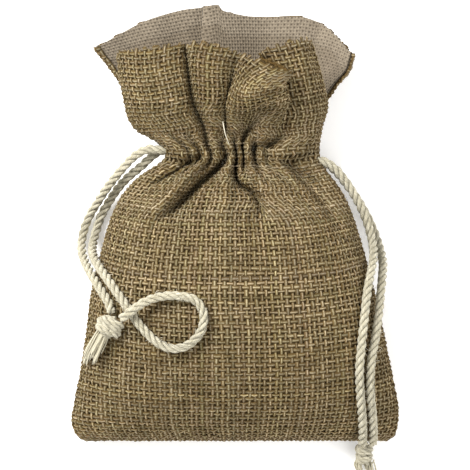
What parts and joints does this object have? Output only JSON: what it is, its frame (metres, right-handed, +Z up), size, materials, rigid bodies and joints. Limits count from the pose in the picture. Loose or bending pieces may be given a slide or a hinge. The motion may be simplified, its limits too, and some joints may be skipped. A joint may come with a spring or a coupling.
{
  "type": "drawstring gift pouch",
  "caption": "Lined burlap gift pouch lying on its back, its neck gathered shut by two drawstrings whose ends are knotted and frayed.",
  "frame": {"origin": "middle of the pouch's own box on the table it lies on, the free cords left out", "axes": "+Z up from the table through the front face, +Y from the bottom seam to the mouth, +X to the pouch's right as seen from above"},
  "size_m": [0.0891, 0.1291, 0.0357],
  "materials": {
    "burlap": "coarse plain weave, matt",
    "lining": "fine plain weave, matt",
    "thread": "sewing thread and cut seam allowance",
    "cord": "twisted cotton cord"
  },
  "bodies": {
    "pouch": {"front_panel": "burlap", "back_panel": "burlap", "front_lining": "lining", "back_lining": "lining", "left_side_seam": "thread", "right_side_seam": "thread", "bottom_seam": "thread", "front_stitch_lower": "thread", "front_stitch_upper": "thread", "back_stitch_lower": "thread", "back_stitch_upper": "thread", "left_channel_cord": "cord", "right_channel_cord": "cord"},
    "mouth_front": {"front_flap": "burlap", "front_flap_lining": "lining"},
    "left_drawstring": {"left_cord_outer": "cord", "left_cord_loop": "cord", "left_knot": "cord", "left_tail_inner": "cord", "left_tail_outer": "cord"},
    "right_drawstring": {"right_cord_inner": "cord", "right_cord_outer": "cord", "right_knot": "cord", "right_tail_left": "cord", "right_tail_right": "cord"}
  },
  "joints": [
    {"name": "front_flap_fold", "type": "hinge", "parent": "pouch", "child": "mouth_front", "pos_m": [0, 0.0228, 0.0155], "axis": [1, 0, 0], "range_deg": [-12, 25], "stiffness_Nm_per_rad": 0.01},
    {"name": "left_pull", "type": "slide", "parent": "pouch", "child": "left_drawstring", "axis": [-1, 0, 0], "range_m": [0, 0.004]},
    {"name": "right_pull", "type": "slide", "parent": "pouch", "child": "right_drawstring", "axis": [1, 0, 0], "range_m": [0, 0.004]}
  ]
}
